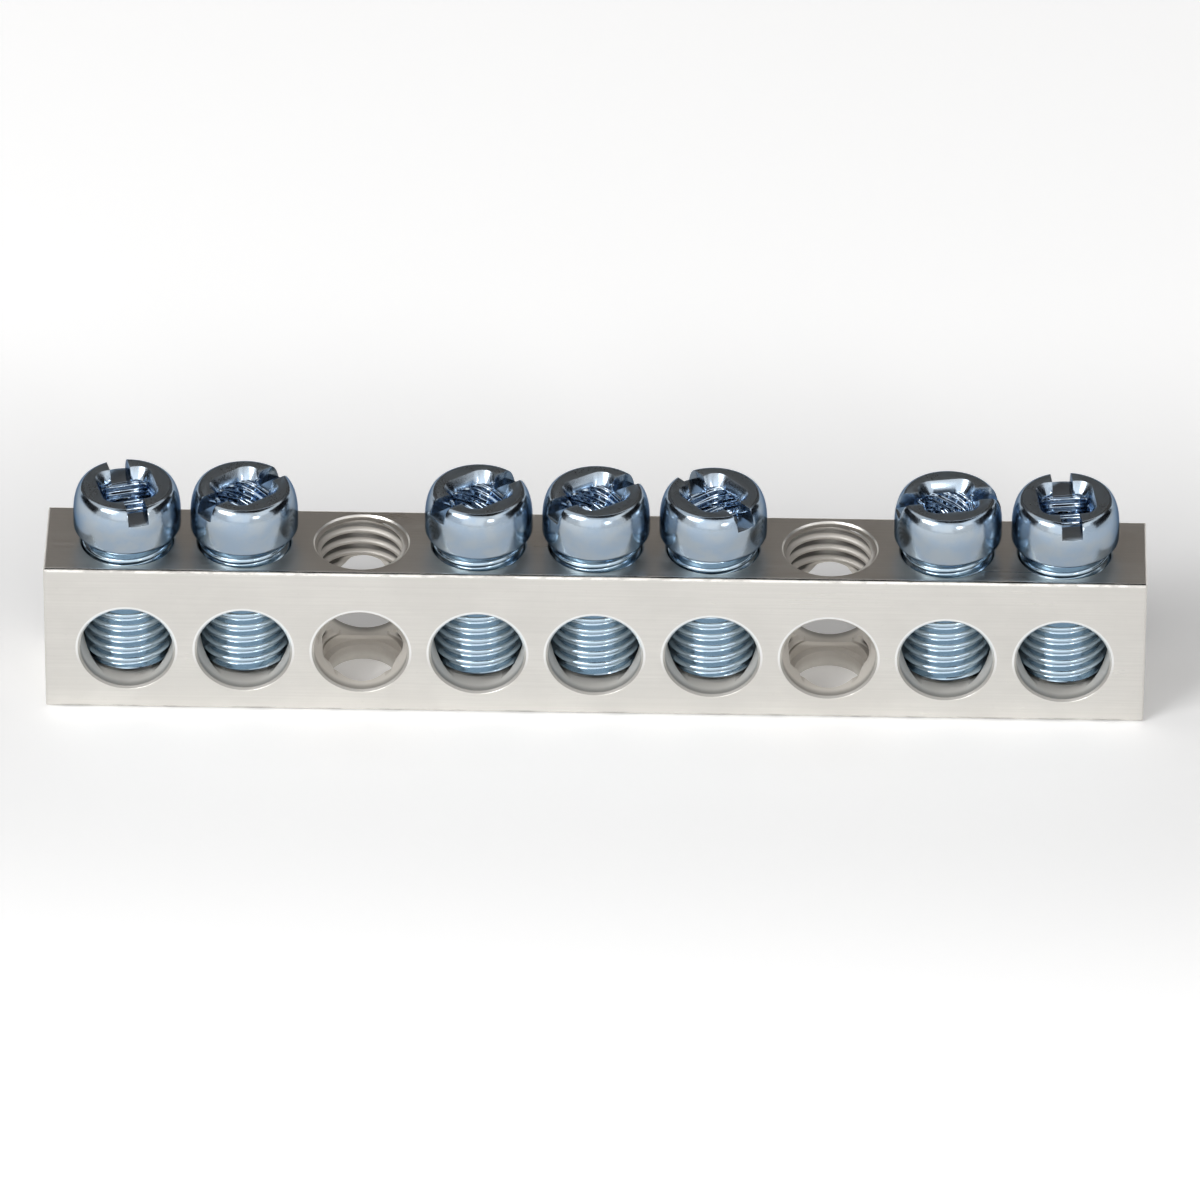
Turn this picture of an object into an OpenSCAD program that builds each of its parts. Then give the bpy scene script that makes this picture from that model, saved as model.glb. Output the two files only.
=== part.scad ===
// Earth terminal bar: a row of wire holes along one metal bar, each clamped by a screw from above.
// Millimetres. X runs along the bar, Z is up, and the origin is the middle of the base.
// Positions are counted from the -X end. Positions 3 and 7 hold no terminal screw: they are the
// mounting holes, where a fixing screw passes through the floor of the wire hole.

/* [Bar] */
// Distance between neighbouring positions along the bar
pitch = 7.9375; // [7.5:0.0125:12]
// Bar left past the middle of the first and last position
end_margin = 5.555; // [4:0.005:10]
// Front-to-back depth of the bar
bar_depth = 7.6; // [7.2:0.01:10]
// Height of the bar
bar_height = 11.35; // [11:0.01:15]
// Rounding of the four long edges
long_edge_radius = 0.28; // [0.1:0.01:0.6]
// Rounding of the edges across the two ends
end_edge_radius = 0.2; // [0.05:0.01:0.6]

/* [Wire holes] */
// Diameter of the wire holes, which run through from front to back
wire_hole_d = 6.35; // [4.5:0.05:6.8]
// Middle of the wire holes above the base
wire_hole_height = 4.88; // [4.3:0.01:6]
// Width of the chamfer round each mouth of a wire hole
wire_hole_chamfer = 0.15; // [0.03:0.01:0.25]

/* [Thread] */
// Major diameter of the thread
thread_d = 6.35; // [6:0.01:6.6]
// Pitch of the thread
thread_pitch = 0.907; // [0.5:0.001:1.27]
// Gap between the crest of the screw's thread and the tapped hole, on the radius
thread_clearance = 0.075; // [0.02:0.005:0.1]

/* [Tapped holes] */
// Width of the chamfer round the mouth of each tapped hole
tap_chamfer = 0.1; // [0.02:0.01:0.25]
// Room left under the tip of a screw before the full thread ends
tip_room = 0.37; // [0.3:0.005:0.6]
// Angle of the drill point that ends each tapped hole
drill_point_angle = 118; // [90:1:140]

/* [Mounting holes] */
// Diameter of the holes that pass through the base
mounting_hole_d = 4.7; // [2.5:0.05:5.2]
// Length of the straight wall of a mounting hole above the base
mounting_wall = 1.2; // [0.3:0.01:1.3]

/* [Terminal screws] */
// Length of the screw under its head
screw_length = 9.9; // [7.5:0.005:10.1]
// Gap between the top of the bar and the underside of the head
head_gap = 1.05; // [0.8:0.01:2]
// Diameter of the head
head_d = 7.3; // [6.8:0.01:7.45]
// Height of the head
head_height = 3.42; // [3.1:0.01:4.2]
// Diameter of the flat on top of the head
head_flat_d = 5.8; // [5:0.05:6.6]
// Height of the shoulder that curves in from the side of the head to its flat
head_shoulder = 2.1; // [0.4:0.05:2.4]
// Rounding of the bottom edge of the head
head_bottom_radius = 0.4; // [0.1:0.01:0.6]
// Length of the 45 degree chamfer on the tip
tip_chamfer = 0.3; // [0.2:0.01:0.9]

/* [Drive recess] */
// Width of the slot across the head
slot_width = 1.4; // [0.8:0.05:2]
// Depth of the slot
slot_depth = 1.1; // [0.5:0.05:1.4]
// Width across the flats of the square socket
socket_width = 3.4; // [2.2:0.05:4]
// Depth of the square socket at its flats
socket_depth = 2.1; // [1.5:0.05:2.4]
// Angle of the drill point at the bottom of the socket
socket_point_angle = 140; // [120:1:160]
// Direction of the slot at each position, counted from +X (the mounting positions use none)
slot_angle = [106, 40, 0, 37, 33, 130, 0, 9.5, 97]; // [0:0.5:180]

/* [Hidden] */
$fn = 96;

positions = 9;
mounting_positions = [3, 7];
bar_length = (positions - 1) * pitch + 2 * end_margin;

// Overlap of a cutting tool past the face it cuts
cut = 1;
// Steps in a curved stretch of the screw's section
arc_steps = 10;

thread_r = thread_d / 2;
// A 60 degree thread is bored 5/8 of its sharp height inside the major radius
tap_drill_r = thread_r - 0.625 * sin(60) * thread_pitch;
shank_r = thread_r - thread_clearance;
// The screw's thread is drawn as rings, one to a pitch, with a crest P/8 and a root P/4 wide
root_r = shank_r - 0.625 * sin(60) * thread_pitch;

screw_tip_z = bar_height + head_gap - screw_length;
thread_end_z = screw_tip_z - tip_room;
mounting_hole_r = mounting_hole_d / 2;

// Height of a drill point of radius r and the given angle
function point_height(r, angle) = r / tan(angle / 2);

function position_x(i) = (i - (positions + 1) / 2) * pitch;
function is_mounting(i) = len(search(i, mounting_positions)) > 0;

// Rectangle with rounded corners, centred on the origin
module rounded_rectangle(width, height, radius) {
    square([width - 2 * radius, height], center = true);
    square([width, height - 2 * radius], center = true);
    for (x = [-1, 1], y = [-1, 1])
        translate([x * (width / 2 - radius), y * (height / 2 - radius)]) circle(r = radius);
}

// Solid bar: the long section along X, with its end edges rounded by the front outline
module bar_blank() {
    translate([0, 0, bar_height / 2]) intersection() {
        rotate([90, 0, 90]) linear_extrude(bar_length, center = true)
            rounded_rectangle(bar_depth, bar_height, long_edge_radius);
        rotate([90, 0, 0]) linear_extrude(bar_depth + 2 * cut, center = true)
            rounded_rectangle(bar_length, bar_height, end_edge_radius);
        linear_extrude(bar_height + 2 * cut, center = true)
            rounded_rectangle(bar_length, bar_depth, end_edge_radius);
    }
}

// Cutter for one wire hole, with a chamfered mouth on the front and on the back
module wire_hole() {
    mouth_r = wire_hole_d / 2 + wire_hole_chamfer;
    translate([0, 0, wire_hole_height]) {
        rotate([90, 0, 0]) cylinder(h = bar_depth + 2 * cut, d = wire_hole_d, center = true);
        for (side = [-90, 90])
            rotate([side, 0, 0]) translate([0, 0, bar_depth / 2 - wire_hole_chamfer])
                cylinder(h = wire_hole_chamfer + cut, r1 = mouth_r - wire_hole_chamfer, r2 = mouth_r + cut);
    }
}

// Cutter for the threaded part of one hole, at the major radius, with its chamfered mouth
module tapped_hole() {
    translate([0, 0, thread_end_z]) cylinder(h = bar_height - thread_end_z + cut, r = thread_r);
    translate([0, 0, bar_height - tap_chamfer])
        cylinder(h = tap_chamfer + cut, r1 = thread_r, r2 = thread_r + tap_chamfer + cut);
}

// Cutter for the blind drill point under a terminal screw
module drill_point() {
    depth = point_height(tap_drill_r, drill_point_angle);
    translate([0, 0, thread_end_z - depth]) cylinder(h = depth, r1 = 0, r2 = tap_drill_r);
}

// Cutter for the conical seat of a fixing screw and the hole under it
module mounting_hole() {
    seat_height = point_height(tap_drill_r - mounting_hole_r, drill_point_angle);
    seat_top_z = mounting_wall + seat_height;
    translate([0, 0, -cut]) cylinder(h = mounting_wall + 2 * cut, r = mounting_hole_r);
    translate([0, 0, mounting_wall]) cylinder(h = seat_height, r1 = mounting_hole_r, r2 = tap_drill_r);
    translate([0, 0, seat_top_z]) cylinder(h = thread_end_z - seat_top_z + cut, r = tap_drill_r);
}

module terminal_bar() {
    color("#d6d2cb") difference() {
        bar_blank();
        for (i = [1 : positions]) translate([position_x(i), 0, 0]) {
            wire_hole();
            tapped_hole();
            if (is_mounting(i)) mounting_hole();
            else drill_point();
        }
    }
}

// Points of a quarter ellipse round the centre c, from direction a0 to a1, with half axes r
function quarter(c, r, a0, a1) =
    [for (k = [0 : arc_steps]) let (a = a0 + (a1 - a0) * k / arc_steps) c + [r.x * cos(a), r.y * sin(a)]];

// Half section of the screw, from the tip at z = 0 to the top of the head
module screw_section() {
    head_r = head_d / 2;
    flat_r = head_flat_d / 2;
    top_z = screw_length + head_height;
    // The bottom edge is rounded over no more than the ledge under the head
    bottom_r = min(head_bottom_radius, head_r - shank_r);
    bottom_arc = quarter([head_r - bottom_r, screw_length + bottom_r], [bottom_r, bottom_r], -90, 0);
    shoulder = quarter([flat_r, top_z - head_shoulder], [head_r - flat_r, head_shoulder], 0, 90);
    polygon(concat([[0, 0], [shank_r - tip_chamfer, 0], [shank_r, tip_chamfer], [shank_r, screw_length]],
                   bottom_arc, shoulder, [[0, top_z]]));
}

// Half section of the thread grooves, from the one under the head down to the tip
module groove_sections() {
    // Half the width of a groove at its root and where it runs out past the crest
    root_half = thread_pitch / 8;
    mouth_r = shank_r + thread_clearance / 2;
    mouth_half = root_half + (mouth_r - root_r) * tan(30);
    for (z = [screw_length - mouth_half : -thread_pitch : tip_chamfer / 2 + mouth_half])
        translate([0, z]) polygon([[root_r, -root_half], [mouth_r, -mouth_half],
                                   [mouth_r, mouth_half], [root_r, root_half]]);
}

// Cutter for the slot and the square socket, with its mouth at z = 0
module drive_recess() {
    point_r = socket_width / 2;
    depth = point_height(point_r, socket_point_angle);
    translate([-head_d, -slot_width / 2, -slot_depth]) cube([2 * head_d, slot_width, slot_depth + cut]);
    translate([-socket_width / 2, -socket_width / 2, -socket_depth])
        cube([socket_width, socket_width, socket_depth + cut]);
    translate([0, 0, -socket_depth - depth]) cylinder(h = depth, r1 = 0, r2 = point_r);
}

// Terminal screw at position i, turned to its slot direction
module terminal_screw(i) {
    color("#b7c0c8") translate([position_x(i), 0, screw_tip_z]) difference() {
        rotate_extrude() difference() {
            screw_section();
            groove_sections();
        }
        translate([0, 0, screw_length + head_height]) rotate([0, 0, slot_angle[i - 1]]) drive_recess();
    }
}

terminal_bar();
terminal_screw(1);  // terminal_screw_1
terminal_screw(2);  // terminal_screw_2
terminal_screw(4);  // terminal_screw_4
terminal_screw(5);  // terminal_screw_5
terminal_screw(6);  // terminal_screw_6
terminal_screw(8);  // terminal_screw_8
terminal_screw(9);  // terminal_screw_9
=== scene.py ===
"""Earth terminal bar: the finish of the bar, its seven screws, the two open threads and the stage."""

import math

import bmesh
import bpy
from bpy.props import FloatProperty, FloatVectorProperty, IntProperty, PointerProperty
from mathutils import Matrix, Vector


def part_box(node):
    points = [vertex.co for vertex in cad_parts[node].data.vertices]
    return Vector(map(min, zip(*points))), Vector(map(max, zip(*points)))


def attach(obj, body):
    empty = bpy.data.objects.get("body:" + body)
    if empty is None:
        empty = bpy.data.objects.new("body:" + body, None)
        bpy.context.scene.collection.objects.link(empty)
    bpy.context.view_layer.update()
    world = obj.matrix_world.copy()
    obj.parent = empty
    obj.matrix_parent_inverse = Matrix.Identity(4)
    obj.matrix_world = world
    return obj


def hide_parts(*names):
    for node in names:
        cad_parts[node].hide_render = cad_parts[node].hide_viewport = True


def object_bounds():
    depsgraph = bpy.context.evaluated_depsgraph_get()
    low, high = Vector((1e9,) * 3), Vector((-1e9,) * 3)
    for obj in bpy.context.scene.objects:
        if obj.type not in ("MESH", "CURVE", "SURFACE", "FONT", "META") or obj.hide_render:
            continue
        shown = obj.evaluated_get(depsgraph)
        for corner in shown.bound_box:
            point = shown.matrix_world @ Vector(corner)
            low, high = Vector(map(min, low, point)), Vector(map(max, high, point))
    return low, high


bl_info = {
    "name": "Earth Terminal Bar",
    "version": (1, 0, 0),
    "blender": (4, 5, 0),
    "location": "3D View > Sidebar > Terminal Bar",
    "description": "Builds the visual model of an earth terminal bar round its construction frame",
    "category": "Object",
}

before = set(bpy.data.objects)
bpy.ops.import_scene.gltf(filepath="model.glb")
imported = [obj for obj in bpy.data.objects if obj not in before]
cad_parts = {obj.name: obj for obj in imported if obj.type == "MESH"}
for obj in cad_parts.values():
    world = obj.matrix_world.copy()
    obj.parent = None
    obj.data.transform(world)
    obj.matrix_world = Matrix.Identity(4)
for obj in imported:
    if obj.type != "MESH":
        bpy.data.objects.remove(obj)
CAD_LOW, CAD_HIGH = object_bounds()

MM = 0.001
FULL_TURN = 2 * math.pi
UP = Vector((0, 0, 1))

# Points nearer to each other than this are merged, and points nearer to a cut lie on it
WELD = 1e-7
ON_CUT = 1e-8

# Positions along the bar, counted from the -X end
FIRST_POSITION, MIDDLE_POSITION, LAST_POSITION = 1, 5, 9
# Position: angle of the screw about its axis, in degrees. The slot lies along it.
SCREW_TURNS = {1: 106.0, 2: 40.0, 4: 37.0, 5: 33.0, 6: 130.0, 8: 9.5, 9: 97.0}
# Positions whose tapped hole is open
OPEN_POSITIONS = (3, 7)


# --- sizes and colours a user would change -------------------------------------------------------


def length(name, description, default_mm, low=0.0, high=0.2):
    """A length property with its default given in millimetres."""
    return FloatProperty(
        name=name,
        description=description,
        default=default_mm * MM,
        min=low,
        max=high,
        precision=5,
        subtype="DISTANCE",
        unit="LENGTH",
    )


def colour(name, description, default):
    """A linear colour property."""
    return FloatVectorProperty(
        name=name,
        description=description,
        default=default,
        min=0.0,
        max=1.0,
        size=3,
        subtype="COLOR",
    )


def factor(name, description, default, high=1.0):
    """A plain number from nought up."""
    return FloatProperty(
        name=name,
        description=description,
        default=default,
        min=0.0,
        max=high,
        subtype="FACTOR",
    )


def angle(name, description, default_deg):
    """An angle property with its default given in degrees."""
    return FloatProperty(
        name=name,
        description=description,
        default=math.radians(default_deg),
        subtype="ANGLE",
        unit="ROTATION",
    )


class BarFinish(bpy.types.PropertyGroup):
    """Satin tin plate of the bar."""

    plate: colour("Plate", "Colour of the tin plate", (0.77, 0.75, 0.71))
    bore: colour("Wire Holes", "Colour of the plate inside the wire holes", (0.80, 0.77, 0.72))
    # The darker plate in the tapped holes is painted shade
    tapped: colour("Tapped Holes", "Colour of the plate inside the tapped holes", (0.66, 0.63, 0.59))
    # The rim colour is a painted highlight on the upper half of each wire-hole rim
    rim_highlight: colour("Rims", "Colour of the burnished rims of the wire holes", (0.93, 0.93, 0.92))
    roughness: factor("Roughness", "Mean roughness of the plate", 0.34)
    bore_roughness: factor("Bore Roughness", "Roughness of the plate inside the holes", 0.60)
    bore_metal: factor("Bore Metal", "How metallic the drilled plate looks in the wire holes", 0.45)
    tapped_metal: factor("Tapped Metal", "How metallic the plate looks in the tapped holes", 0.85)
    # The roots of the open threads are painted dark as shade from this radius outwards
    root_shade_radius: length("Groove Radius", "Radius at which the roots of an open thread are dark", 3.10)
    # These two place the painted highlight of the rims
    rim_radius: length("Rim Radius", "Radius at which the burnished rim of a wire hole begins", 3.32)
    rim_width: length("Rim Width", "Width of the burnished rim of a wire hole", 0.17)
    hole_height: length("Hole Height", "Middle of the wire holes above the base", 4.88)
    line_spacing: length("Line Spacing", "Spacing of the draw lines along the bar", 0.16)
    line_depth: length("Line Depth", "Depth of the draw lines", 0.004)
    edge_width: length("Edge Width", "Width of the polished band on the long edges", 0.3)


class ThreadSizes(bpy.types.PropertyGroup):
    """Helical thread of the screws and of the open tapped holes."""

    pitch: length("Pitch", "Pitch of the thread", 0.907)
    crest: length("Screw Crest", "Radius of the crest of the screw's thread", 3.10)
    root: length("Screw Root", "Radius of the root of the screw's thread", 2.62)
    hole_root: length("Hole Root", "Radius where a tapped hole's ridge meets its wall", 3.25)
    hole_crest: length("Hole Crest", "Radius of the crest of a tapped hole's ridge", 2.76)
    hole_low: length("Hole Low", "Height above the base at which the ridge of an open hole ends", 2.2)
    hole_gap: length("Hole Gap", "Distance of the ridge of an open hole from the top of the bar", 0.12)
    wire_hole: length("Wire Hole", "Radius of the wire hole that crosses the ridge", 3.175)
    sharpness: factor("Sharpness", "How flat the crests and roots are", 1.5, 6.0)
    samples: IntProperty(
        name="Samples", description="Points in one pitch of the thread", default=12, min=6, max=32
    )
    steps: IntProperty(
        name="Steps", description="Steps in one turn of the thread", default=96, min=24, max=192
    )


class ScrewSizes(bpy.types.PropertyGroup):
    """Head, recess and tip of the terminal screws."""

    under_head: length("Under Head", "Length of the screw under its head", 9.9)
    flat_radius: length("Flat Radius", "Radius of the flat on top of the head", 2.9)
    shoulder: length("Shoulder", "Height of the shoulder that curves in to the flat", 2.1)
    bottom_radius: length("Bottom Radius", "Rounding of the bottom edge of the head", 0.4)
    tip_chamfer: length("Tip Chamfer", "Length of the chamfer on the tip", 0.3)
    slot_width: length("Slot Width", "Width of the slot across the head", 1.4)
    slot_depth: length("Slot Depth", "Depth of the slot", 1.1)
    socket_width: length("Socket Width", "Width across the flats of the square socket", 3.0)
    mouth_width: length("Mouth Width", "Width of the tapered mouth of the socket", 3.9)
    mouth_depth: length("Mouth Depth", "Depth of the tapered mouth of the socket", 1.0)
    socket_depth: length("Socket Depth", "Depth of the square socket at its flats", 2.1)
    socket_corner: length("Socket Corner", "Rounding of the corners of the socket", 0.9)
    socket_point: angle("Socket Point", "Angle of the drill point in the socket", 140)
    edge_round: length("Edge Round", "Rounding of the edges of the recess", 0.07)


class ScrewFinish(bpy.types.PropertyGroup):
    """Bright blue-white zinc plate of the screws."""

    plate: colour("Plate", "Colour of the zinc plate", (0.37, 0.425, 0.475))
    recess: colour("Recess", "Colour of the plate in the recess", (0.46, 0.56, 0.68))
    thread: colour("Thread", "Colour of the plate on the thread", (0.42, 0.53, 0.62))
    edge_tint: colour("Edge Tint", "Tint of the plate at a grazing angle", (0.22, 0.29, 0.40))
    mark_spacing: length("Mark Spacing", "Spacing of the broach marks across the socket", 0.9)
    mark_height: length("Mark Height", "Spacing of the broach marks down the walls", 0.62)
    mark_depth: length("Mark Depth", "Depth of the broach marks", 0.11)
    roughness: factor("Roughness", "Mean roughness of the plate", 0.16)
    flat_roughness: factor("Flat Roughness", "Roughness of the flat on top of the head", 0.30)


class StageSizes(bpy.types.PropertyGroup):
    """Camera, floor and lights."""

    azimuth: angle("Azimuth", "Direction of the camera round the bar", 0.992)
    elevation: angle("Elevation", "Height of the camera above the horizon", 35.0)
    roll: angle("Roll", "Tilt of the camera about its own axis", 0.258)
    distance: length("Distance", "Distance of the camera from its target", 961.9, high=5.0)
    target_x: length("Target X", "Camera target along the bar", 0.292, low=-0.2)
    target_z: length("Target Z", "Height of the camera target", 6.832)
    lens: FloatProperty(
        name="Lens", description="Focal length of the camera in millimetres", default=424.82
    )
    floor_size: length("Floor Size", "Side of the square floor", 4000.0, high=20.0)
    floor: colour("Floor", "Colour of the floor", (0.86, 0.86, 0.86))
    sky: factor("Sky", "Strength of the even light all round", 0.62)
    # The smaller glow beside the bar is painted shade round it
    glow_near: factor("Glow Near", "Brightness added to the floor's look beside the bar", 0.10)
    glow_far: factor("Glow Far", "Brightness added to the floor's look away from the bar", 0.34)
    glow_start: length("Glow Start", "Distance from the bar at which the glow begins to rise", 4.0)
    glow_end: length("Glow End", "Distance from the bar at which the glow is full", 45.0)


GROUPS = {
    "bar_finish": BarFinish,
    "thread_sizes": ThreadSizes,
    "screw_sizes": ScrewSizes,
    "screw_finish": ScrewFinish,
    "stage_sizes": StageSizes,
}


# --- mesh helpers ---------------------------------------------------------------------------------


def open_line(bm, points):
    """Vertices joined by edges in order, as the start of a spin."""
    verts = [bm.verts.new(p) for p in points]
    edges = [bm.edges.new(pair) for pair in zip(verts, verts[1:])]
    return verts + edges


def close_up(bm):
    """Merges doubles, fills what is open and turns the faces outwards."""
    bmesh.ops.remove_doubles(bm, verts=bm.verts, dist=WELD)
    open_edges = [e for e in bm.edges if e.is_boundary]
    if open_edges:
        bmesh.ops.holes_fill(bm, edges=open_edges, sides=0)
    bmesh.ops.recalc_face_normals(bm, faces=bm.faces)


def turned(points, steps):
    """Closed solid turned about Z from a half section of (radius, height) points."""
    bm = bmesh.new()
    line = open_line(bm, [(r, 0, z) for r, z in points])
    bmesh.ops.spin(
        bm,
        geom=line,
        cent=(0, 0, 0),
        axis=UP,
        angle=FULL_TURN,
        steps=steps,
        use_merge=True,
    )
    close_up(bm)
    return bm


def quarter(centre, half_axes, start, end, steps):
    """Points of a quarter ellipse from direction start to end, in degrees."""
    points = []
    for k in range(steps + 1):
        turn = math.radians(start + (end - start) * k / steps)
        across = centre[0] + half_axes[0] * math.cos(turn)
        points.append((across, centre[1] + half_axes[1] * math.sin(turn)))
    return points


def box_cutter(width, depth, height, top):
    """Closed box centred on Z with its upper face at the height top."""
    bm = bmesh.new()
    bmesh.ops.create_cube(bm, size=1.0)
    bmesh.ops.scale(bm, vec=(width, depth, height), verts=bm.verts)
    bmesh.ops.translate(bm, vec=(0, 0, top - height / 2), verts=bm.verts)
    return bm


def held(bm, name):
    """Object that holds the mesh."""
    mesh = bpy.data.meshes.new(name)
    bm.to_mesh(mesh)
    bm.free()
    made = bpy.data.objects.new(name, mesh)
    bpy.context.scene.collection.objects.link(made)
    return made


def cut(piece, cutter, operation="DIFFERENCE"):
    """Adds a Boolean step to the piece."""
    step = piece.modifiers.new(cutter.name, "BOOLEAN")
    step.operation = operation
    step.solver = "EXACT"
    step.object = cutter
    cutter.hide_render = True


def settled(piece, tools):
    """Applies the piece's modifiers, removes the piece and its tools, and gives the finished mesh."""
    bpy.context.view_layer.update()
    graph = bpy.context.evaluated_depsgraph_get()
    mesh = bpy.data.meshes.new_from_object(piece.evaluated_get(graph))
    for spent in [piece, *tools]:
        old = spent.data
        bpy.data.objects.remove(spent)
        bpy.data.meshes.remove(old)
    return mesh


def shaded(mesh, sharp_deg):
    """Smooth shading with sharp edges past the angle."""
    mesh.shade_smooth()
    mesh.set_sharp_from_angle(angle=math.radians(sharp_deg))


def sizes(group):
    """The scene's properties of one group."""
    return getattr(bpy.context.scene, group)


def screw_pitch():
    """Distance between neighbouring positions, from the first and the last screw."""
    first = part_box(f"terminal_screw_{FIRST_POSITION}")
    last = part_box(f"terminal_screw_{LAST_POSITION}")
    row = ((last[0].x + last[1].x) - (first[0].x + first[1].x)) / 2
    return row / (LAST_POSITION - FIRST_POSITION)


# --- thread ---------------------------------------------------------------------------------------


def thread_radius(phase, crest, root, sharpness):
    """Radius at a phase of the thread, from 0 at a crest to 1 at the next."""
    swing = math.tanh(sharpness * math.cos(FULL_TURN * phase)) / math.tanh(sharpness)
    return (crest + root) / 2 + (crest - root) / 2 * swing


def helix(bm, line, pitch, steps, turns=1):
    """Spins the line about Z with a rise of one pitch in each turn."""
    bmesh.ops.spin(
        bm,
        geom=line,
        cent=(0, 0, 0),
        axis=UP,
        dvec=(0, 0, pitch / steps),
        angle=FULL_TURN * turns,
        steps=steps * turns,
        use_merge=False,
    )


def trim(bm, low, high):
    """Cuts the mesh off below low and above high, and closes it."""
    for height, below in ((low, True), (high, False)):
        bmesh.ops.bisect_plane(
            bm,
            geom=bm.verts[:] + bm.edges[:] + bm.faces[:],
            dist=ON_CUT,
            plane_co=(0, 0, height),
            plane_no=UP,
            clear_inner=below,
            clear_outer=not below,
        )
    close_up(bm)


def thread_rod(low, high, tip_radius):
    """Threaded rod from low to high, chamfered at 45 degrees down to tip_radius."""
    t = sizes("thread_sizes")
    # The helix starts under the tip and ends over the top, so that both cuts go through it all round
    rows = math.ceil((high - low) / t.pitch) + 2
    start = low - 1.5 * t.pitch
    points = []
    for k in range(rows * t.samples + 1):
        phase = k / t.samples
        points.append((thread_radius(phase, t.crest, t.root, t.sharpness), 0, start + phase * t.pitch))
    bm = bmesh.new()
    helix(bm, open_line(bm, points), t.pitch, t.steps)
    bmesh.ops.remove_doubles(bm, verts=bm.verts, dist=WELD)
    for v in bm.verts:
        limit = max(tip_radius + v.co.z - low, tip_radius * 0.5)
        radius = math.hypot(v.co.x, v.co.y)
        if radius > limit:
            v.co.x *= limit / radius
            v.co.y *= limit / radius
    trim(bm, low, high)
    return bm


# --- materials ------------------------------------------------------------------------------------


class Nodes:
    """Short calls for building one material's nodes."""

    def __init__(self, name):
        self.material = bpy.data.materials.new(name)
        self.material.use_nodes = True
        self.tree = self.material.node_tree
        self.shader = self.tree.nodes["Principled BSDF"]
        self.coords = self.add("ShaderNodeTexCoord").outputs["Object"]

    def add(self, kind, **values):
        """New node of the kind, with its settings."""
        node = self.tree.nodes.new(kind)
        for key, value in values.items():
            setattr(node, key, value)
        return node

    def link(self, source, target):
        """Sets the target to a number or a colour, or links another node's output to it."""
        if isinstance(source, (int, float)):
            target.default_value = source
        elif isinstance(source, (tuple, list)) or hasattr(source, "to_tuple"):
            value = tuple(source)
            target.default_value = value + (1.0,) if len(value) == 3 and target.type == "RGBA" else value
        else:
            self.tree.links.new(source, target)

    def math(self, operation, *inputs, clamp=False):
        """Result of the operation on the inputs."""
        node = self.add("ShaderNodeMath", operation=operation, use_clamp=clamp)
        for value, socket in zip(inputs, node.inputs):
            self.link(value, socket)
        return node.outputs[0]

    def ramp(self, value, low, high, out_low=0.0, out_high=1.0, smooth=True):
        """Maps low..high onto out_low..out_high, clamped."""
        node = self.add("ShaderNodeMapRange", interpolation_type="SMOOTHSTEP" if smooth else "LINEAR")
        for source, socket in zip((value, low, high, out_low, out_high), node.inputs):
            self.link(source, socket)
        return node.outputs[0]

    def noise(self, spacing, detail=2.0, roughness=0.5, distortion=0.0):
        """Noise whose features are spacing metres wide along X, Y and Z."""
        place = self.add("ShaderNodeMapping")
        place.inputs["Scale"].default_value = tuple(1.0 / s for s in spacing)
        self.link(self.coords, place.inputs["Vector"])
        node = self.add("ShaderNodeTexNoise")
        self.link(place.outputs[0], node.inputs["Vector"])
        node.inputs["Scale"].default_value = 1.0
        node.inputs["Detail"].default_value = detail
        node.inputs["Roughness"].default_value = roughness
        node.inputs["Distortion"].default_value = distortion
        return node.outputs["Fac"]

    def mix(self, amount, first, second):
        """Colour that goes from first to second as the amount goes from nought to one."""
        node = self.add("ShaderNodeMix", data_type="RGBA")
        # The colour sockets come after those of the other data types
        for source, socket in zip((amount, first, second), (0, 6, 7)):
            self.link(source, node.inputs[socket])
        return node.outputs[2]

    def axes(self):
        """X, Y and Z of the point."""
        split = self.add("ShaderNodeSeparateXYZ")
        self.link(self.coords, split.inputs[0])
        return split.outputs[0], split.outputs[1], split.outputs[2]

    def bump(self, height, distance, under=None):
        """Normal bumped by the height, on top of the normal under it."""
        node = self.add("ShaderNodeBump")
        node.inputs["Strength"].default_value = 1.0
        node.inputs["Distance"].default_value = distance
        self.link(height, node.inputs["Height"])
        if under is not None:
            self.link(under, node.inputs["Normal"])
        return node.outputs[0]


# Fades of the bar's plate, each from where its mark begins to where it is full
BORE_FADE = (0.25 * MM, 0.9 * MM)  # depth under the outer skin, inside a hole
SKIN_FADE = (0.12 * MM, 0.06 * MM)  # depth under the front and back, for the rims
RIM_FADE = 0.04 * MM  # inner side of a rim
UPPER_FADE = (-1.6 * MM, 0.4 * MM)  # height from the middle of a wire hole, for the upper half of a rim
LOWER_FADE = (0.5 * MM, -1 * MM)  # the same, for the lower half of a mouth
MOUTH_FADE = 0.03 * MM  # outer side of a mouth
WALL_FADE = 0.25 * MM  # round the wall of a wire hole
ROOT_FADE = 0.14 * MM  # inner side of the dark roots of a thread
ROW_FADE = (4.52, 4.48)  # distance from the middle of the row in positions, past which no hole is near


def scaled(shade, level):
    """The colour made darker or lighter."""
    return tuple(c * level for c in shade)


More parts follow.
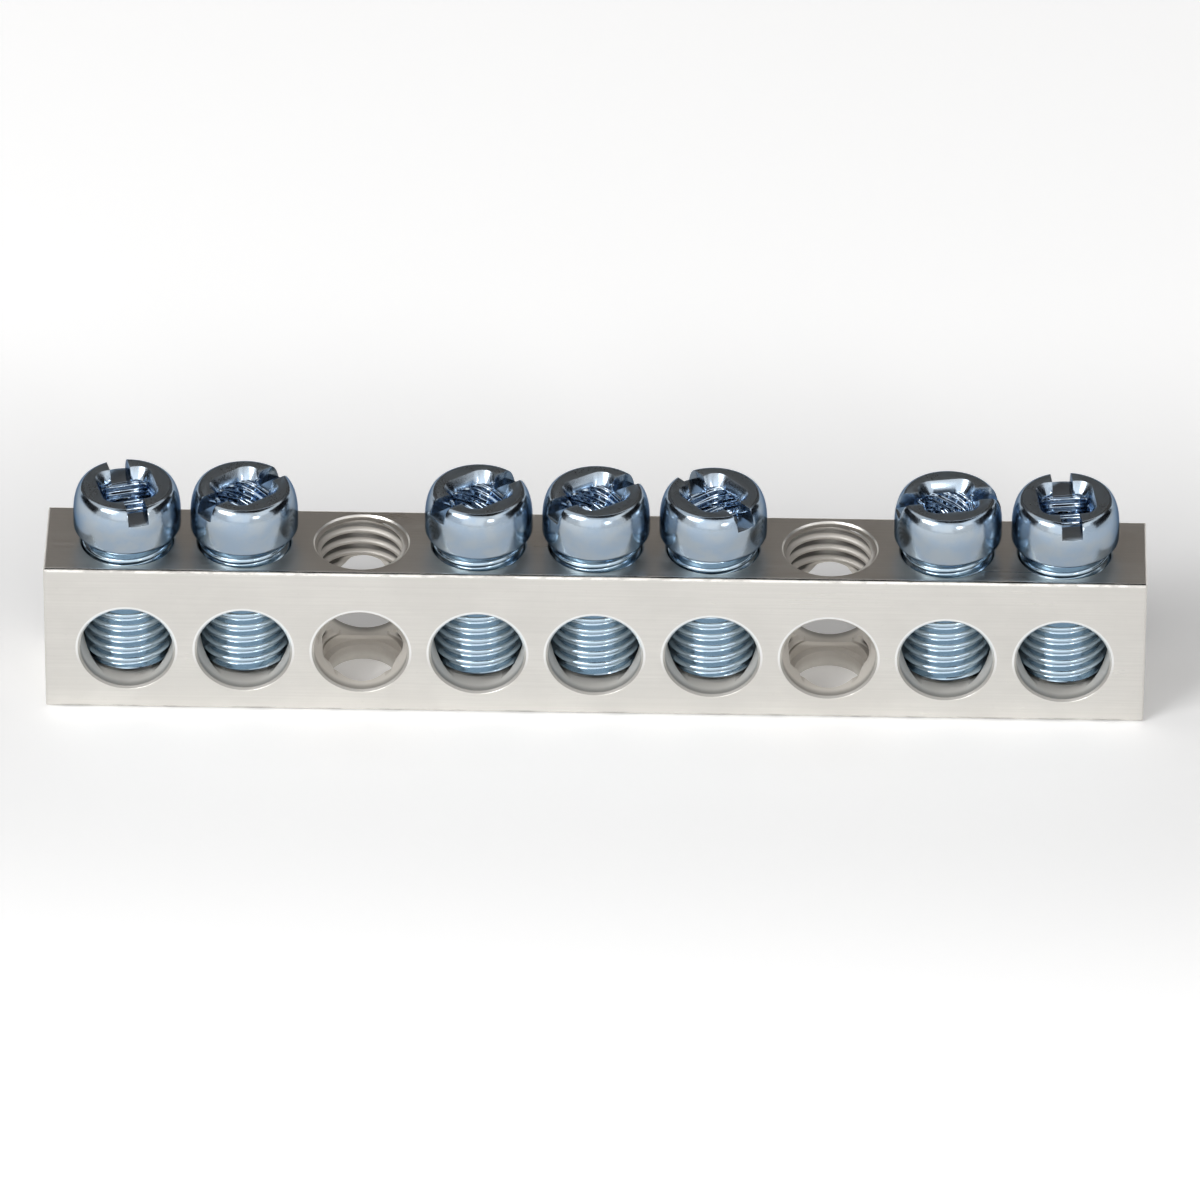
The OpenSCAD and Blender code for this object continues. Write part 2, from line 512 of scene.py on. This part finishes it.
def tin_plate():
    """Satin tin plate with draw lines along the bar, polished edges, duller bores, a painted highlight
    on the rims and painted shade in the holes.
    """
    f = sizes("bar_finish")
    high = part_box("terminal_bar")[1]
    n = Nodes("tin_plate")
    x, y, z = n.axes()
    # Distance under the outer skin: nought on the outside, and more inside the holes
    from_front = n.math("SUBTRACT", high.y, n.math("ABSOLUTE", y))
    from_top = n.math("MINIMUM", n.math("SUBTRACT", high.z, z), z)
    from_end = n.math("SUBTRACT", high.x, n.math("ABSOLUTE", x))
    under_skin = n.math("MINIMUM", n.math("MINIMUM", from_front, from_top), from_end)
    in_bore = n.ramp(under_skin, *BORE_FADE)
    on_edge = n.ramp(n.math("MAXIMUM", from_front, from_top), f.edge_width, 0.4 * f.edge_width)
    across = f.line_spacing
    lines = n.noise((60 * across, across, across), detail=3.0, roughness=0.6)
    fine = n.noise((25 * across, across / 3, across / 3), detail=2.0, roughness=0.6)
    cloud = n.noise((6 * MM, 5 * MM, 4 * MM), detail=3.0, roughness=0.55)
    speck = n.noise((0.35 * MM, 0.3 * MM, 0.3 * MM), detail=3.0, roughness=0.7)
    # Painted highlight on the rims: distance from the middle of the nearest wire hole, on the outer
    # faces only
    place = n.math("WRAP", x, screw_pitch() / 2, -screw_pitch() / 2)
    rise = n.math("SUBTRACT", z, f.hole_height)
    squares = n.math("ADD", n.math("MULTIPLY", place, place), n.math("MULTIPLY", rise, rise))
    radius = n.math("SQRT", squares)
    rim_highlight = n.ramp(radius, f.rim_radius - RIM_FADE, f.rim_radius)
    outside = n.ramp(radius, f.rim_radius + f.rim_width, f.rim_radius + 0.6 * f.rim_width)
    rim_highlight = n.math("MULTIPLY", rim_highlight, outside)
    rim_highlight = n.math("MULTIPLY", rim_highlight, n.ramp(from_front, *SKIN_FADE))
    beside = n.ramp(n.math("ABSOLUTE", x), *(share * screw_pitch() for share in ROW_FADE))
    rim_highlight = n.math("MULTIPLY", n.math("MULTIPLY", rim_highlight, beside), n.ramp(rise, *UPPER_FADE))
    in_wire_hole = n.ramp(radius, f.rim_radius + WALL_FADE, f.rim_radius)
    # Lower half of each chamfered mouth, rougher and less metallic, with painted shade
    mouth = n.math("MULTIPLY", n.ramp(radius, f.rim_radius, f.rim_radius - MOUTH_FADE), beside)
    mouth = n.math("MULTIPLY", mouth, n.ramp(rise, *LOWER_FADE))
    # Painted shade in the roots of the open threads: distance from the middle of the nearest tapped
    # hole, inside it
    squares = n.math("ADD", n.math("MULTIPLY", place, place), n.math("MULTIPLY", y, y))
    root = n.ramp(n.math("SQRT", squares), f.root_shade_radius - ROOT_FADE, f.root_shade_radius)
    # Colour: faint clouds in the plate, other colours in the bores, a painted highlight on the rims, and
    # painted shade in the lower mouths, the tapped holes and the roots of their threads
    skin = n.mix(n.ramp(cloud, 0.38, 0.66), tuple(f.plate), scaled(f.plate, 0.93))
    skin = n.mix(n.math("MULTIPLY", n.ramp(speck, 0.60, 0.75), 0.25), skin, scaled(f.plate, 0.8))
    skin = n.mix(n.ramp(lines, 0.3, 0.7, 0.0, 0.4), skin, scaled(f.plate, 0.88))
    # The shine of the long edges is broken where they are worn
    worn = n.noise((1.6 * MM, 0.5 * MM, 0.5 * MM), detail=3.0, roughness=0.65)
    worn = n.math("MULTIPLY", on_edge, n.ramp(worn, 0.42, 0.62, 0.0, 0.8))
    skin = n.mix(worn, skin, scaled(f.plate, 0.5))
    # Painted highlight: the upper half of each wire-hole rim is brighter
    skin = n.mix(rim_highlight, skin, tuple(f.rim_highlight))
    # Painted shade: the lower half of each mouth is darker
    skin = n.mix(mouth, skin, scaled(f.bore, 0.5))
    # Painted shade: the plate in the tapped holes is darker, and darkest in the roots of their threads
    inner = n.mix(root, tuple(f.tapped), scaled(f.tapped, 0.25))
    inner = n.mix(in_wire_hole, inner, tuple(f.bore))
    n.link(n.mix(in_bore, skin, inner), n.shader.inputs["Base Color"])
    # Roughness: lines and clouds, smoother on the edges
    rough = n.ramp(lines, 0.3, 0.7, f.roughness - 0.05, f.roughness + 0.06)
    rough = n.math("ADD", rough, n.ramp(cloud, 0.3, 0.7, -0.03, 0.04))
    rough = n.math("MULTIPLY", rough, n.ramp(on_edge, 0.0, 1.0, 1.0, 0.45))
    drilled = n.math("MAXIMUM", in_bore, mouth)
    rough = n.math("ADD", rough, n.math("MULTIPLY", drilled, f.bore_roughness - f.roughness), clamp=True)
    n.link(rough, n.shader.inputs["Roughness"])
    metal = n.ramp(in_wire_hole, 0.0, 1.0, f.tapped_metal, f.bore_metal)
    n.link(n.ramp(drilled, 0.0, 1.0, 1.0, metal), n.shader.inputs["Metallic"])
    height = n.math("ADD", n.math("MULTIPLY", lines, 0.7), n.math("MULTIPLY", fine, 0.3))
    normal = n.bump(height, f.line_depth)
    normal = n.bump(speck, 0.002 * MM, under=normal)
    n.link(normal, n.shader.inputs["Normal"])
    return n.material


def zinc_plate():
    """Bright blue-white zinc plate, bluer in the recess, and duller and painted darker as shade on the
    flat of the head.
    """
    f = sizes("screw_finish")
    n = Nodes("zinc_plate")
    recess, flat, shank, along = (
        n.add("ShaderNodeAttribute", attribute_name=name).outputs["Fac"]
        for name in ("recess", "flat", "shank", "along")
    )
    cloud = n.noise((1.6 * MM, 1.6 * MM, 1.2 * MM), detail=3.0, roughness=0.55)
    streak = n.noise((0.12 * MM, 0.12 * MM, 1.5 * MM), detail=2.0, roughness=0.6)
    speck = n.noise((0.16 * MM, 0.16 * MM, 0.16 * MM), detail=3.0, roughness=0.65)
    cool = tuple(c * k for c, k in zip(f.plate, (0.86, 0.94, 1.04)))
    skin = n.mix(n.ramp(cloud, 0.35, 0.65), tuple(f.plate), cool)
    # Painted shade: the flat on top of the head is darker
    skin = n.mix(n.math("MULTIPLY", flat, 0.9), skin, scaled(f.plate, 0.9))
    skin = n.mix(shank, skin, tuple(f.thread))
    skin = n.mix(recess, skin, tuple(f.recess))
    n.link(skin, n.shader.inputs["Base Color"])
    rough = n.ramp(speck, 0.3, 0.75, f.roughness - 0.03, f.roughness + 0.07)
    rough = n.math("ADD", rough, n.ramp(cloud, 0.3, 0.7, -0.02, 0.03))
    rough = n.math("ADD", rough, n.math("MULTIPLY", flat, f.flat_roughness - f.roughness), clamp=True)
    n.link(n.ramp(recess, 0.0, 1.0, rough, f.roughness - 0.04), n.shader.inputs["Roughness"])
    # Broach marks across the recess: waves along the slot and down the walls
    height = n.math("MULTIPLY", n.axes()[2], FULL_TURN / f.mark_height)
    turn = n.math("ADD", n.math("MULTIPLY", along, FULL_TURN * MM / f.mark_spacing), height)
    marks = n.math("MULTIPLY", n.math("SINE", turn), n.ramp(recess, 0.8, 1.0))
    clean = n.math("SUBTRACT", 1.0, n.math("MAXIMUM", recess, n.math("MULTIPLY", flat, 0.6)))
    normal = n.bump(n.math("MULTIPLY", streak, clean), 0.002 * MM)
    normal = n.bump(n.math("MULTIPLY", speck, clean), 0.003 * MM, under=normal)
    normal = n.bump(marks, f.mark_depth, under=normal)
    n.link(normal, n.shader.inputs["Normal"])
    n.shader.inputs["Specular Tint"].default_value = (*f.edge_tint, 1.0)
    n.shader.inputs["Metallic"].default_value = 1.0
    return n.material


# --- pieces ---------------------------------------------------------------------------------------

# Steps in the curved stretches of the head's section, and in a corner of the socket
BOTTOM_STEPS, SHOULDER_STEPS, CORNER_STEPS = 6, 18, 5
# Edges that turn by more than this stay sharp, on the screws and on the ridges of the open threads
SCREW_SHARP_DEG, RIDGE_SHARP_DEG = 32, 40
# How far a cutter goes past the face it cuts, and the threaded rod into the head
PAST_FACE, INTO_HEAD = 1 * MM, 0.4 * MM
# Length of the cutter for a wire hole
CUTTER_LENGTH = 20 * MM
# Step that keeps the rim of the drill point just clear of the walls of the socket
POINT_STEP = 0.05 * MM


def head_section(radius, low, high):
    """Half section of the head from the axis underneath to the axis on top."""
    s = sizes("screw_sizes")
    bottom = s.bottom_radius
    points = [(0, low), (radius - bottom, low)]
    points += quarter((radius - bottom, low + bottom), (bottom, bottom), -90, 0, BOTTOM_STEPS)[1:]
    half_axes = (radius - s.flat_radius, s.shoulder)
    points += quarter((s.flat_radius, high - s.shoulder), half_axes, 0, 90, SHOULDER_STEPS)
    return points + [(0, high)]


def socket_cutter(low_width, high_width, height, top):
    """Square cutter with rounded corners, low_width wide at its foot and high_width at its top."""
    s = sizes("screw_sizes")
    bm = box_cutter(low_width, low_width, height, top)
    grow = high_width / low_width
    bmesh.ops.scale(bm, vec=(grow, grow, 1), verts=[v for v in bm.verts if v.co.z > top - height / 2])
    bmesh.ops.bevel(
        bm,
        geom=[e for e in bm.edges if abs(e.verts[0].co.z - e.verts[1].co.z) > height / 2],
        offset=s.socket_corner,
        offset_type="OFFSET",
        affect="EDGES",
        segments=CORNER_STEPS,
        profile=0.5,
        material=-1,
    )
    return bm


def screw_master(radius, head_height):
    """Finished screw with its tip at the origin and its slot along X, as a mesh."""
    s, t = sizes("screw_sizes"), sizes("thread_sizes")
    low, high = s.under_head, s.under_head + head_height
    head = turned(head_section(radius, low, high), t.steps)
    # The flats above and below are one face each, so that the recess cuts them cleanly
    for face_z in (low, high):
        bmesh.ops.dissolve_faces(
            head, faces=[f for f in head.faces if all(abs(v.co.z - face_z) < WELD for v in f.verts)]
        )
    head = held(head, "head")
    top = high + PAST_FACE
    slot = held(box_cutter(4 * radius, s.slot_width, s.slot_depth + PAST_FACE, top), "slot")
    width = s.socket_width
    socket = held(socket_cutter(width, width, s.socket_depth + PAST_FACE, top), "socket")
    # The taper of the mouth goes on past the flat of the head
    past_width = s.mouth_width + (s.mouth_width - width) / s.mouth_depth * PAST_FACE
    mouth = held(socket_cutter(width, past_width, s.mouth_depth + PAST_FACE, top), "mouth")
    point_radius = width / 2
    point_depth = point_radius / math.tan(s.socket_point / 2)
    socket_floor = high - s.socket_depth
    rim_radius = point_radius - POINT_STEP
    point_section = [
        (0, socket_floor - point_depth),
        (rim_radius, socket_floor - POINT_STEP * point_depth / point_radius),
        (rim_radius, socket_floor + POINT_STEP),
        (0, socket_floor + POINT_STEP),
    ]
    point = held(turned(point_section, t.steps), "point")
    for cutter in (slot, mouth, socket, point):
        cut(head, cutter)
    soften = head.modifiers.new("soften", "BEVEL")
    soften.width = s.edge_round
    soften.segments = 2
    soften.limit_method = "ANGLE"
    soften.angle_limit = math.radians(SCREW_SHARP_DEG)
    rod = held(thread_rod(0.0, low + INTO_HEAD, t.crest - s.tip_chamfer), "rod")
    cut(head, rod, "UNION")
    mesh = settled(head, [slot, mouth, socket, point, rod])
    shaded(mesh, SCREW_SHARP_DEG)
    paint_master(mesh, radius, low, high)
    return mesh


def paint_master(mesh, radius, low, high):
    """Marks the recess, the flat, the shank and the distance along the slot in four attributes."""
    s = sizes("screw_sizes")
    near = 0.02 * MM
    # Depths under the skin of the head at which the recess begins and is full
    recess_start, recess_full = 0.05 * MM, 0.2 * MM
    names = ("recess", "flat", "along", "shank")
    for name in names:
        mesh.attributes.new(name, "FLOAT", "POINT")
    recess, flat, along, shank = (mesh.attributes[name].data for name in names)
    for v in mesh.vertices:
        shank[v.index].value = 1.0 if v.co.z < low - near else 0.0
        along[v.index].value = v.co.x / MM
        r, z = math.hypot(v.co.x, v.co.y), v.co.z
        if r <= s.flat_radius:
            skin = high
        else:
            part = min(1.0, (r - s.flat_radius) / (radius - s.flat_radius))
            skin = high - s.shoulder + s.shoulder * math.sqrt(1 - part * part)
        depth = skin - z
        if z > low + s.bottom_radius and r < radius - near:
            part = (depth - recess_start) / (recess_full - recess_start)
            recess[v.index].value = min(1.0, max(0.0, part))
        if r <= s.flat_radius + near / 2 and abs(depth) < near:
            flat[v.index].value = 1.0


def wire_hole_cutter():
    """Cylinder of one wire hole, along Y and well past both faces of the bar."""
    t = sizes("thread_sizes")
    bm = bmesh.new()
    bmesh.ops.create_cone(
        bm,
        cap_ends=True,
        cap_tris=False,
        segments=t.steps,
        radius1=t.wire_hole,
        radius2=t.wire_hole,
        depth=CUTTER_LENGTH,
    )
    bmesh.ops.rotate(bm, verts=bm.verts, cent=(0, 0, 0), matrix=Matrix.Rotation(math.pi / 2, 3, "X"))
    bmesh.ops.translate(bm, vec=(0, 0, sizes("bar_finish").hole_height), verts=bm.verts)
    return bm


class TERMINALBAR_OT_finish_bar(bpy.types.Operator):
    """Gives the bar its satin tin plate"""

    bl_idname = "terminalbar.finish_bar"
    bl_label = "Finish Bar"

    def execute(self, context):
        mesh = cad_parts["terminal_bar"].data
        if not mesh.materials:
            raise RuntimeError("The bar has no material slot for its plate")
        plate = tin_plate()
        for k in range(len(mesh.materials)):
            mesh.materials[k] = plate
        return {"FINISHED"}


class TERMINALBAR_OT_make_screws(bpy.types.Operator):
    """Makes the seven terminal screws with their helical threads and combined recesses"""

    bl_idname = "terminalbar.make_screws"
    bl_label = "Make Screws"

    def execute(self, context):
        s = sizes("screw_sizes")
        plate = zinc_plate()
        low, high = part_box("terminal_screw_1")
        master = screw_master((high.x - low.x) / 2, high.z - low.z - s.under_head)
        for position, turn in SCREW_TURNS.items():
            node = f"terminal_screw_{position}"
            low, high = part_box(node)
            mesh = master.copy()
            place = Matrix.Translation(((low.x + high.x) / 2, (low.y + high.y) / 2, low.z))
            mesh.transform(place @ Matrix.Rotation(math.radians(turn), 4, "Z"))
            screw = bpy.data.objects.new(f"screw_{position}_zinc_plated", mesh)
            context.scene.collection.objects.link(screw)
            mesh.materials.append(plate)
            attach(screw, f"screw_{position}")
            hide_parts(node)
        bpy.data.meshes.remove(master)
        return {"FINISHED"}


class TERMINALBAR_OT_make_open_threads(bpy.types.Operator):
    """Makes the thread ridges of the two open tapped holes"""

    bl_idname = "terminalbar.make_open_threads"
    bl_label = "Make Open Threads"

    def execute(self, context):
        t = sizes("thread_sizes")
        low, high = t.hole_low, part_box("terminal_bar")[1].z - t.hole_gap
        plate = bpy.data.materials["tin_plate"]
        for position in OPEN_POSITIONS:
            bm = bmesh.new()
            verts = []
            for k in range(-t.samples // 2 + 1, t.samples // 2):
                radius = thread_radius(k / t.samples, t.hole_crest, t.hole_root, t.sharpness)
                verts.append(bm.verts.new((radius, 0, k / t.samples * t.pitch)))
            section = bm.faces.new(verts)
            # The first turn starts under the lower cut, and one more than fits goes past the upper
            turns = math.ceil((high - low) / t.pitch) + 1
            bmesh.ops.translate(bm, vec=(0, 0, low - 0.3 * t.pitch), verts=bm.verts)
            helix(bm, bm.verts[:] + bm.edges[:] + [section], t.pitch, t.steps, turns)
            trim(bm, low, high)
            ridge = held(bm, "ridge")
            hole = held(wire_hole_cutter(), "hole")
            cut(ridge, hole)
            mesh = settled(ridge, [hole])
            shaded(mesh, RIDGE_SHARP_DEG)
            mesh.transform(Matrix.Translation(((position - MIDDLE_POSITION) * screw_pitch(), 0, 0)))
            thread = bpy.data.objects.new(f"open_thread_{position}", mesh)
            context.scene.collection.objects.link(thread)
            mesh.materials.append(plate)
            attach(thread, "bar")
        return {"FINISHED"}


# --- stage ----------------------------------------------------------------------------------------

# Name, place, size and power of each soft light
LAMPS = (
    ("key", (-0.30, -0.27, 0.36), (0.24, 0.24), 1.2),
    ("fill", (0.7, -0.5, 0.7), (0.6, 0.6), 0.6),
    ("window", (-0.13, -0.62, 0.33), (0.62, 0.60), 0.7),
    ("glint", (0.28, -0.56, 0.24), (0.10, 0.10), 0.34),
)
# Point that the lights face
LIT_POINT = Vector((0, 0, 0.01))
# Name, place, size and shade of each card that the metal reflects
CARDS = (
    ("back_card", (0.0, 0.473, 0.369), (1.4, 0.5), (0.23, 0.205, 0.185)),
    ("top_card", (0.12, -0.02, 0.75), (0.62, 0.6), (0.02, 0.02, 0.022)),
    ("side_card_-1", (-0.72, 0.05, 0.26), (0.8, 0.5), (0.02, 0.02, 0.024)),
    ("side_card_1", (0.72, 0.05, 0.26), (0.8, 0.5), (0.02, 0.02, 0.024)),
)
SENSOR_WIDTH = 36.0
CLIP_START, CLIP_END = 0.01, 20.0
# Gap that keeps the base of the bar off the floor
FLOOR_GAP = 0.02 * MM


def softbox(name, place, size, power):
    """Rectangular area light turned to the bar."""
    light = bpy.data.lights.new(name, "AREA")
    light.shape = "RECTANGLE"
    light.size, light.size_y = size
    light.energy = power
    lamp = bpy.data.objects.new(name, light)
    bpy.context.scene.collection.objects.link(lamp)
    lamp.location = place
    lamp.rotation_euler = (LIT_POINT - Vector(place)).to_track_quat("-Z", "Y").to_euler()
    lamp.visible_camera = False


def card(name, place, size, shade):
    """Matt card at its place, facing the bar, that isn't seen directly."""
    bm = bmesh.new()
    bmesh.ops.create_grid(bm, x_segments=1, y_segments=1, size=0.5)
    bmesh.ops.scale(bm, vec=(*size, 1), verts=bm.verts)
    turn = Vector(place).to_track_quat("Z", "Y").to_matrix().to_4x4()
    bmesh.ops.transform(bm, matrix=Matrix.Translation(place) @ turn, verts=bm.verts)
    made = held(bm, name)
    n = Nodes(name)
    n.shader.inputs["Base Color"].default_value = (*shade, 1.0)
    n.shader.inputs["Roughness"].default_value = 1.0
    n.shader.inputs["Specular IOR Level"].default_value = 0.0
    made.data.materials.append(n.material)
    made.visible_camera = False


def background_rays(tree):
    """One for the rays that show the background: those of the camera, and those that metal reflects."""
    rays = tree.nodes.new("ShaderNodeLightPath")
    shown = rays.outputs["Is Camera Ray"]
    for other in ("Is Glossy Ray", "Is Transmission Ray"):
        either = tree.nodes.new("ShaderNodeMath")
        either.operation = "MAXIMUM"
        tree.links.new(shown, either.inputs[0])
        tree.links.new(rays.outputs[other], either.inputs[1])
        shown = either.outputs[0]
    return shown


def floor_paper():
    """Pale floor that keeps the shadow of the bar, glows less beside it as painted shade, and goes to
    white further away.
    """
    s = sizes("stage_sizes")
    n = Nodes("floor_paper")
    # Distance from the foot of the bar
    squares = 0.0
    for axis, reach in zip(n.axes(), CAD_HIGH.xy):
        past = n.math("MAXIMUM", n.math("SUBTRACT", n.math("ABSOLUTE", axis), reach), 0.0)
        squares = n.math("ADD", squares, n.math("MULTIPLY", past, past))
    away = n.math("SQRT", squares)
    n.shader.inputs["Roughness"].default_value = 0.9
    n.shader.inputs["Specular IOR Level"].default_value = 0.1
    shown = background_rays(n.tree)
    n.link(n.mix(shown, tuple(s.floor), (1.0, 1.0, 1.0)), n.shader.inputs["Base Color"])
    # Painted shade: the floor glows less beside the bar, so that it looks darker there
    glow = n.math("MULTIPLY", shown, n.ramp(away, s.glow_start, s.glow_end, s.glow_near, s.glow_far))
    n.shader.inputs["Emission Color"].default_value = (1.0, 1.0, 1.0, 1.0)
    n.link(glow, n.shader.inputs["Emission Strength"])
    return n.material


def studio_world():
    """White to the camera and in the metal, and an even soft grey as light."""
    world = bpy.data.worlds.new("studio")
    bpy.context.scene.world = world
    world.use_nodes = True
    tree = world.node_tree
    ground = tree.nodes["Background"]
    level = tree.nodes.new("ShaderNodeMapRange")
    tree.links.new(background_rays(tree), level.inputs[0])
    level.inputs[3].default_value, level.inputs[4].default_value = sizes("stage_sizes").sky, 1.0
    tree.links.new(level.outputs[0], ground.inputs["Strength"])
    ground.inputs["Color"].default_value = (1.0, 1.0, 1.0, 1.0)


class TERMINALBAR_OT_set_stage(bpy.types.Operator):
    """Sets the camera, the floor, the soft lights and the dark cards"""

    bl_idname = "terminalbar.set_stage"
    bl_label = "Set Stage"

    def execute(self, context):
        s = sizes("stage_sizes")
        context.scene.view_settings.view_transform = "Standard"
        camera = bpy.data.objects.new("camera", bpy.data.cameras.new("camera"))
        context.scene.collection.objects.link(camera)
        context.scene.camera = camera
        camera.data.sensor_width = SENSOR_WIDTH
        camera.data.lens = s.lens
        camera.data.clip_start, camera.data.clip_end = CLIP_START, CLIP_END
        back = Vector(
            (
                math.sin(s.azimuth) * math.cos(s.elevation),
                -math.cos(s.azimuth) * math.cos(s.elevation),
                math.sin(s.elevation),
            )
        )
        target = Vector((s.target_x, 0, s.target_z))
        right = (-back).cross(UP).normalized()
        up = right.cross(-back)
        right, up = (
            right * math.cos(s.roll) + up * math.sin(s.roll),
            up * math.cos(s.roll) - right * math.sin(s.roll),
        )
        camera.matrix_world = Matrix.Translation(target + back * s.distance) @ Matrix(
            (right, up, back)
        ).transposed().to_4x4()
        bm = bmesh.new()
        bmesh.ops.create_grid(bm, x_segments=1, y_segments=1, size=s.floor_size / 2)
        bmesh.ops.translate(bm, vec=(0, 0, CAD_LOW.z - FLOOR_GAP), verts=bm.verts)
        floor = held(bm, "floor")
        floor.data.materials.append(floor_paper())
        studio_world()
        for lamp in LAMPS:
            softbox(*lamp)
        for backing in CARDS:
            card(*backing)
        return {"FINISHED"}


class TERMINALBAR_PT_panel(bpy.types.Panel):
    """Lists the pieces and their sizes"""

    bl_idname = "TERMINALBAR_PT_panel"
    bl_label = "Earth Terminal Bar"
    bl_space_type = "VIEW_3D"
    bl_region_type = "UI"
    bl_category = "Terminal Bar"

    def draw(self, context):
        for name, group in GROUPS.items():
            box = self.layout.box()
            box.label(text=group.__doc__)
            for key in group.__annotations__:
                box.prop(getattr(context.scene, name), key)
        for step in STEPS:
            self.layout.operator(step.bl_idname)


STEPS = (
    TERMINALBAR_OT_finish_bar,
    TERMINALBAR_OT_make_screws,
    TERMINALBAR_OT_make_open_threads,
    TERMINALBAR_OT_set_stage,
)


def register():
    """Registers the groups of sizes, the steps and the panel."""
    for group in GROUPS.values():
        bpy.utils.register_class(group)
    for name, group in GROUPS.items():
        setattr(bpy.types.Scene, name, PointerProperty(type=group))
    for step in STEPS:
        bpy.utils.register_class(step)
    bpy.utils.register_class(TERMINALBAR_PT_panel)


def unregister():
    """Takes back what register did."""
    bpy.utils.unregister_class(TERMINALBAR_PT_panel)
    for step in reversed(STEPS):
        bpy.utils.unregister_class(step)
    for name, group in GROUPS.items():
        delattr(bpy.types.Scene, name)
        bpy.utils.unregister_class(group)


def main():
    """Builds the model step by step."""
    register()
    bpy.ops.terminalbar.finish_bar()
    bpy.ops.terminalbar.make_screws()
    bpy.ops.terminalbar.make_open_threads()
    bpy.ops.terminalbar.set_stage()


if __name__ == "__main__":
    main()
